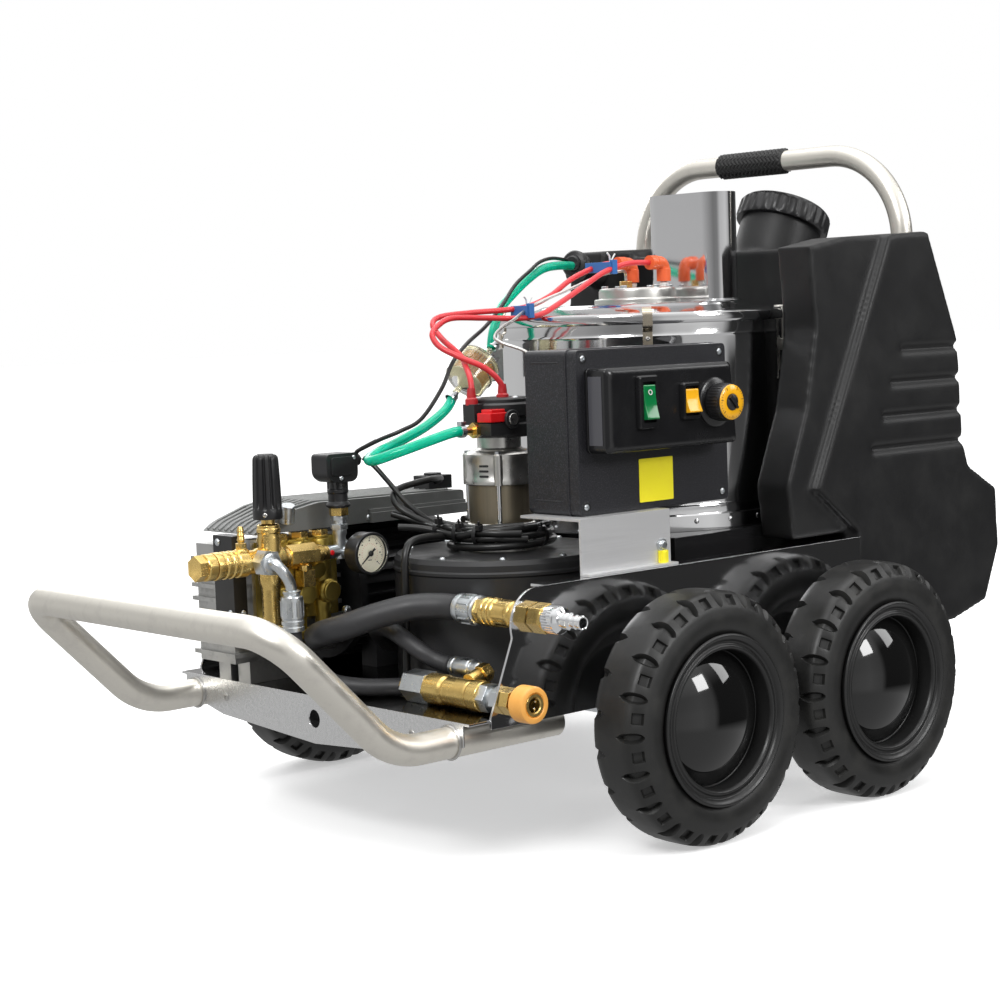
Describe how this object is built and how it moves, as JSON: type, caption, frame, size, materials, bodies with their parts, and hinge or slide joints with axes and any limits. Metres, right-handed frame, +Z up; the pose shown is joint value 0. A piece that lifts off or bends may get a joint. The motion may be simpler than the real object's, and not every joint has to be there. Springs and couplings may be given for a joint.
{
  "type": "hot water pressure washer",
  "caption": "Hot-water pressure washer on wheels: stainless deck and bumper, upright boiler, moulded tanks, motor pump, burner and control box with rocker switches and dial.",
  "frame": {"origin": "middle of the machine's footprint, on the floor that the tyres stand on", "axes": "+X along the machine towards the water tank and handle, -Y towards the side with the controls and couplings, +Z up"},
  "size_m": [1.2059, 0.766, 0.8085],
  "materials": {
    "stainless_sheet": "polished stainless sheet, nearly mirror smooth",
    "stainless_tube": "satin brushed stainless tube",
    "boiler_steel": "polished stainless, faint vertical rolling marks",
    "dark_steel": "plain drawn steel",
    "axle_steel": "zinc plated steel bar",
    "tank_plastic": "rotationally moulded black polyethylene, fine orange peel",
    "grip_rubber": "knurled black rubber sleeve",
    "box_plastic": "spark-textured black moulding",
    "console_plastic": "fine textured black moulding",
    "black_plastic": "plain black moulding",
    "green_plastic": "translucent green, glossy",
    "yellow_plastic": "yellow-orange, glossy",
    "red_rubber": "red silicone ignition lead",
    "boot_plastic": "orange-red moulded boot",
    "fuel_hose": "translucent green fuel hose",
    "cable": "black sheathed cable",
    "hose_rubber": "black reinforced rubber hose",
    "brass": "machined brass",
    "motor_black": "black painted finned aluminium",
    "cast_grey": "grey painted casting, slightly rough",
    "cast_aluminium": "bare die casting",
    "motor_aluminium": "satin die casting",
    "cast_iron": "grey painted iron housing",
    "steel_parts": "turned and zinc plated steel",
    "chrome": "bright chrome",
    "tyre": "black rubber, satin sidewall",
    "rim_plastic": "satin black moulded rim",
    "cap_gloss": "glossy black dome",
    "filter_clear": "clear plastic bowl with a pleated element",
    "gauge": "black case, pale dial"
  },
  "bodies": {
    "machine": {"deck": "stainless_sheet", "side_plates": "stainless_sheet", "axles": "axle_steel", "bumper_bar": "stainless_tube", "handle_tube": "stainless_tube", "handle_grip": "grip_rubber", "water_tank": "tank_plastic", "fuel_tank": "tank_plastic", "boiler_base": "cast_grey", "boiler_shell": "boiler_steel", "heating_coil": "dark_steel", "boiler_lid": "boiler_steel", "chimney": "boiler_steel", "lid_clips": "steel_parts", "burner_head": "steel_parts", "ignition_boots": "boot_plastic", "ignition_leads": "red_rubber", "fan_housing": "motor_black", "burner_motor": "motor_aluminium", "fuel_pump": "black_plastic", "fuel_filter": "filter_clear", "fuel_hoses": "fuel_hose", "cable_loom": "cable", "motor_body": "motor_black", "motor_cover": "cast_grey", "pump_crankcase": "cast_aluminium", "pump_head": "brass", "unloader_valve": "brass", "pressure_switch": "black_plastic", "pressure_gauge": "gauge", "control_box": "box_plastic", "box_lid": "box_plastic", "switch_console": "console_plastic", "box_bracket": "stainless_sheet", "inlet_coupler": "brass", "outlet_valve": "brass", "inlet_hose": "hose_rubber", "pressure_hoses": "hose_rubber"},
    "wheel_front_near": {"tyre_front_near": "tyre", "rim_front_near": "rim_plastic", "hub_cap_front_near": "cap_gloss"},
    "wheel_front_far": {"tyre_front_far": "tyre", "rim_front_far": "rim_plastic", "hub_cap_front_far": "cap_gloss"},
    "wheel_rear_near": {"tyre_rear_near": "tyre", "rim_rear_near": "rim_plastic", "hub_cap_rear_near": "cap_gloss"},
    "wheel_rear_far": {"tyre_rear_far": "tyre", "rim_rear_far": "rim_plastic", "hub_cap_rear_far": "cap_gloss"},
    "rotor": {"motor_rotor": "steel_parts"},
    "fan": {"fan_wheel": "cast_aluminium"},
    "regulator_knob": {"unloader_knob": "black_plastic"},
    "needle": {"gauge_needle": "black_plastic"},
    "green_switch": {"green_rocker": "green_plastic"},
    "yellow_switch": {"yellow_rocker": "yellow_plastic"},
    "thermostat": {"thermostat_knob": "black_plastic"},
    "filler_cap": {"water_cap": "black_plastic"},
    "latch": {"latch_lever": "steel_parts"},
    "bail": {"latch_bail": "steel_parts"}
  },
  "joints": [
    {"name": "wheel_front_near_spin", "type": "hinge", "parent": "machine", "child": "wheel_front_near", "pos_m": [-0.086, -0.324, 0.1425], "axis": [0, 1, 0], "continuous": true},
    {"name": "wheel_front_far_spin", "type": "hinge", "parent": "machine", "child": "wheel_front_far", "pos_m": [-0.086, 0.324, 0.1425], "axis": [0, 1, 0], "continuous": true},
    {"name": "wheel_rear_near_spin", "type": "hinge", "parent": "machine", "child": "wheel_rear_near", "pos_m": [0.214, -0.324, 0.1425], "axis": [0, 1, 0], "continuous": true},
    {"name": "wheel_rear_far_spin", "type": "hinge", "parent": "machine", "child": "wheel_rear_far", "pos_m": [0.214, 0.324, 0.1425], "axis": [0, 1, 0], "continuous": true},
    {"name": "rotor_spin", "type": "hinge", "parent": "machine", "child": "rotor", "pos_m": [-0.2, 0.16, 0.262], "axis": [1, 0, 0], "continuous": true},
    {"name": "fan_spin", "type": "hinge", "parent": "machine", "child": "fan", "pos_m": [-0.136, -0.08, 0.25], "axis": [0, 0, 1], "continuous": true},
    {"name": "regulator_turn", "type": "hinge", "parent": "machine", "child": "regulator_knob", "pos_m": [-0.384, 0.045, 0.4], "axis": [0, 0, 1], "range_deg": [0, 270]},
    {"name": "needle_sweep", "type": "hinge", "parent": "machine", "child": "needle", "pos_m": [-0.28, -0.0115, 0.324], "axis": [0, 1, 0], "range_deg": [0, 270]},
    {"name": "green_switch_rock", "type": "hinge", "parent": "machine", "child": "green_switch", "pos_m": [-0.089, -0.272, 0.492], "axis": [1, 0, 0], "range_deg": [0, 8]},
    {"name": "yellow_switch_rock", "type": "hinge", "parent": "machine", "child": "yellow_switch", "pos_m": [-0.019, -0.272, 0.49], "axis": [1, 0, 0], "range_deg": [0, 8]},
    {"name": "thermostat_turn", "type": "hinge", "parent": "machine", "child": "thermostat", "pos_m": [0.026, -0.29, 0.486], "axis": [0, -1, 0], "range_deg": [-300, 0]},
    {"name": "filler_cap_turn", "type": "hinge", "parent": "machine", "child": "filler_cap", "pos_m": [0.48113, 0, 0.71332], "axis": [0.4226, 0, 0.9063], "continuous": true},
    {"name": "latch_swing", "type": "hinge", "parent": "machine", "child": "latch", "pos_m": [0.32545, -0.12647, 0.545], "axis": [0.6691, 0.7431, 0], "range_deg": [-80, 0]},
    {"name": "bail_swing", "type": "hinge", "parent": "machine", "child": "bail", "pos_m": [0.32545, -0.12647, 0.545], "axis": [0.6691, 0.7431, 0], "range_deg": [0, 60]}
  ]
}
